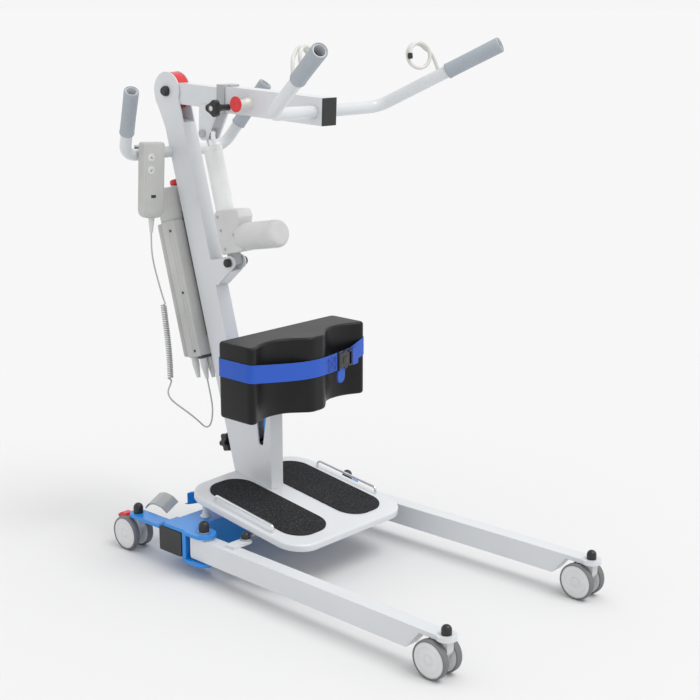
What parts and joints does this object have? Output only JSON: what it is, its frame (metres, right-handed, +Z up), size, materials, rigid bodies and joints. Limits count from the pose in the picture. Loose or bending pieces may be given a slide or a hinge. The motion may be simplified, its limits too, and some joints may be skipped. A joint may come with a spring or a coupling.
{
  "type": "sit-to-stand patient hoist",
  "caption": "Battery-powered standing hoist with a leaning mast, lifting boom with handles, padded knee support, tilted footplate and spreading castor legs.",
  "frame": {"origin": "on the floor, at the centre of the box that encloses the hoist", "axes": "+X to the right of a patient who stands on the footplate facing the mast, +Y towards the attendant behind the mast, +Z up"},
  "size_m": [0.58, 1.1012, 1.1737],
  "materials": {
    "white_paint": "satin powder coat",
    "blue_paint": "gloss powder coat",
    "black_plastic": "fine texture",
    "grey_plastic": "fine texture",
    "light_plastic": "fine texture",
    "dark_plastic": "fine texture",
    "red_plastic": "smooth",
    "button_plastic": "smooth",
    "grip_vinyl": "satin",
    "grit_mat": "coarse grit",
    "steel": "zinc plated",
    "chrome": "polished",
    "grey_tyre": "matte",
    "pad_foam": "integral skin foam, satin",
    "webbing": "woven",
    "cable": "smooth jacket"
  },
  "bodies": {
    "frame": {"chassis_frame": "blue_paint", "frame_caps": "black_plastic", "pivot_bolts": "steel", "footplate": "white_paint", "foot_mats": "grit_mat", "guard_rails": "steel", "mast": "white_paint", "push_handle_bar": "white_paint", "push_grips": "grip_vinyl", "control_box": "light_plastic", "battery_pack": "dark_plastic", "control_plugs": "dark_plastic", "handset_case": "light_plastic", "handset_strain_relief": "light_plastic", "cord_lead": "cable", "cord_coil": "cable", "cord_tail": "cable", "cord_plug": "dark_plastic"},
    "emergency_stop": {"emergency_stop": "red_plastic"},
    "handset_up": {"handset_up_button": "button_plastic"},
    "handset_down": {"handset_down_button": "button_plastic"},
    "boom": {"boom_arm": "white_paint", "boom_head_cover": "red_plastic", "clevis_bolts": "grey_plastic"},
    "boom_extension": {"boom_sleeve": "white_paint", "boom_collar": "grey_plastic", "boom_end_plug": "black_plastic", "patient_handlebar": "white_paint", "patient_grips": "grip_vinyl", "sling_hooks": "white_paint", "sling_studs": "light_plastic", "sling_stud_discs": "red_plastic"},
    "boom_knob": {"boom_star_knob": "black_plastic"},
    "knee_knob": {"knee_clamp_knob": "black_plastic"},
    "actuator": {"actuator_housing": "light_plastic", "actuator_motor": "light_plastic", "actuator_tube": "light_plastic"},
    "actuator_rod": {"actuator_rod": "chrome"},
    "knee_support": {"knee_pad": "pad_foam", "knee_pad_stem": "blue_paint", "knee_strap": "webbing", "strap_buckle": "black_plastic"},
    "leg_left": {"leg_left": "white_paint", "leg_caps_left": "black_plastic"},
    "leg_right": {"leg_right": "white_paint", "leg_caps_right": "black_plastic"},
    "tie_rod_left": {"tie_rod_left": "steel"},
    "tie_rod_right": {"tie_rod_right": "steel"},
    "pedal": {"spreader_pedal": "blue_paint", "pedal_pads": "grey_plastic"},
    "swivel_front_left": {"castor_fork_front_left": "light_plastic"},
    "wheels_front_left": {"castor_wheels_front_left": "grey_tyre"},
    "swivel_front_right": {"castor_fork_front_right": "light_plastic"},
    "wheels_front_right": {"castor_wheels_front_right": "grey_tyre"},
    "swivel_rear_left": {"castor_fork_rear_left": "light_plastic"},
    "wheels_rear_left": {"castor_wheels_rear_left": "grey_tyre"},
    "brake_left": {"brake_pedal_rear_left": "red_plastic"},
    "swivel_rear_right": {"castor_fork_rear_right": "light_plastic"},
    "wheels_rear_right": {"castor_wheels_rear_right": "grey_tyre"},
    "brake_right": {"brake_pedal_rear_right": "red_plastic"}
  },
  "joints": [
    {"name": "boom_lift", "type": "hinge", "parent": "frame", "child": "boom", "pos_m": [0, 0.5065, 1.045], "axis": [-1, 0, 0], "range_deg": [0, 50]},
    {"name": "actuator_tilt", "type": "hinge", "parent": "frame", "child": "actuator", "pos_m": [0, 0.3019, 0.6652], "axis": [1, 0, 0], "range_deg": [0, 7.97]},
    {"name": "actuator_extend", "type": "slide", "parent": "actuator", "child": "actuator_rod", "axis": [0, 0.2619, 0.9651], "range_m": [0, 0.1224]},
    {"name": "boom_extend", "type": "slide", "parent": "boom", "child": "boom_extension", "axis": [0, -0.9991, -0.0419], "range_m": [0, 0.08]},
    {"name": "boom_knob_turn", "type": "hinge", "parent": "boom_extension", "child": "boom_knob", "pos_m": [-0.05, 0.293, 1.018], "axis": [-1, 0, 0], "continuous": true},
    {"name": "knee_knob_turn", "type": "hinge", "parent": "frame", "child": "knee_knob", "pos_m": [0, 0.31587, 0.23], "axis": [0, 0.9651, -0.2619], "continuous": true},
    {"name": "knee_pad_height", "type": "slide", "parent": "frame", "child": "knee_support", "axis": [0, 0, 1], "range_m": [0, 0.09]},
    {"name": "emergency_stop_press", "type": "slide", "parent": "frame", "child": "emergency_stop", "axis": [0, -0.2619, -0.9651], "range_m": [0, 0.004]},
    {"name": "handset_up_press", "type": "slide", "parent": "frame", "child": "handset_up", "axis": [0, 1, 0], "range_m": [0, 0.001], "stiffness_N_per_m": 600},
    {"name": "handset_down_press", "type": "slide", "parent": "frame", "child": "handset_down", "axis": [0, 1, 0], "range_m": [0, 0.001], "stiffness_N_per_m": 600},
    {"name": "leg_left_spread", "type": "hinge", "parent": "frame", "child": "leg_left", "pos_m": [-0.2338, 0.1688, 0.067], "axis": [0, 0, -1], "range_deg": [0, 12]},
    {"name": "leg_right_spread", "type": "hinge", "parent": "frame", "child": "leg_right", "pos_m": [0.2338, 0.1688, 0.067], "axis": [0, 0, 1], "range_deg": [0, 12]},
    {"name": "tie_rod_left_swing", "type": "hinge", "parent": "leg_left", "child": "tie_rod_left", "pos_m": [-0.19, 0.081, 0.1002], "axis": [0, 0, 1], "range_deg": [0, 14.2]},
    {"name": "tie_rod_right_swing", "type": "hinge", "parent": "leg_right", "child": "tie_rod_right", "pos_m": [0.19, 0.081, 0.1002], "axis": [0, 0, -1], "range_deg": [0, 14.2]},
    {"name": "pedal_rock", "type": "hinge", "parent": "frame", "child": "pedal", "pos_m": [0, 0.25, 0.075], "axis": [0, -1, 0], "range_deg": [0, 24.3]},
    {"name": "castor_swivel_front_left", "type": "hinge", "parent": "leg_left", "child": "swivel_front_left", "pos_m": [-0.247, -0.5292, 0.08], "axis": [0, 0, 1], "continuous": true},
    {"name": "castor_roll_front_left", "type": "hinge", "parent": "swivel_front_left", "child": "wheels_front_left", "pos_m": [-0.247, -0.5078, 0.04], "axis": [1, 0, 0], "continuous": true},
    {"name": "castor_swivel_front_right", "type": "hinge", "parent": "leg_right", "child": "swivel_front_right", "pos_m": [0.247, -0.5292, 0.08], "axis": [0, 0, 1], "continuous": true},
    {"name": "castor_roll_front_right", "type": "hinge", "parent": "swivel_front_right", "child": "wheels_front_right", "pos_m": [0.247, -0.5078, 0.04], "axis": [1, 0, 0], "continuous": true},
    {"name": "castor_swivel_rear_left", "type": "hinge", "parent": "frame", "child": "swivel_rear_left", "pos_m": [-0.2291, 0.4041, 0.08], "axis": [0, 0, 1], "continuous": true},
    {"name": "castor_roll_rear_left", "type": "hinge", "parent": "swivel_rear_left", "child": "wheels_rear_left", "pos_m": [-0.2291, 0.4255, 0.04], "axis": [1, 0, 0], "continuous": true},
    {"name": "brake_left_press", "type": "hinge", "parent": "swivel_rear_left", "child": "brake_left", "pos_m": [-0.2291, 0.4246, 0.0625], "axis": [-1, 0, 0], "range_deg": [0, 9]},
    {"name": "castor_swivel_rear_right", "type": "hinge", "parent": "frame", "child": "swivel_rear_right", "pos_m": [0.2291, 0.4041, 0.08], "axis": [0, 0, 1], "continuous": true},
    {"name": "castor_roll_rear_right", "type": "hinge", "parent": "swivel_rear_right", "child": "wheels_rear_right", "pos_m": [0.2291, 0.4255, 0.04], "axis": [1, 0, 0], "continuous": true},
    {"name": "brake_right_press", "type": "hinge", "parent": "swivel_rear_right", "child": "brake_right", "pos_m": [0.2291, 0.4246, 0.0625], "axis": [-1, 0, 0], "range_deg": [0, 9]}
  ],
  "couplings": [
    {"joint": "actuator_tilt", "follows": "boom_lift", "ratio": 0.15533},
    {"joint": "actuator_extend", "follows": "boom_lift", "m_per_rad": 0.13964},
    {"joint": "leg_right_spread", "follows": "leg_left_spread", "ratio": 1},
    {"joint": "tie_rod_left_swing", "follows": "leg_left_spread", "ratio": 1.168},
    {"joint": "tie_rod_right_swing", "follows": "leg_left_spread", "ratio": 1.168},
    {"joint": "pedal_rock", "follows": "leg_left_spread", "ratio": 2}
  ]
}
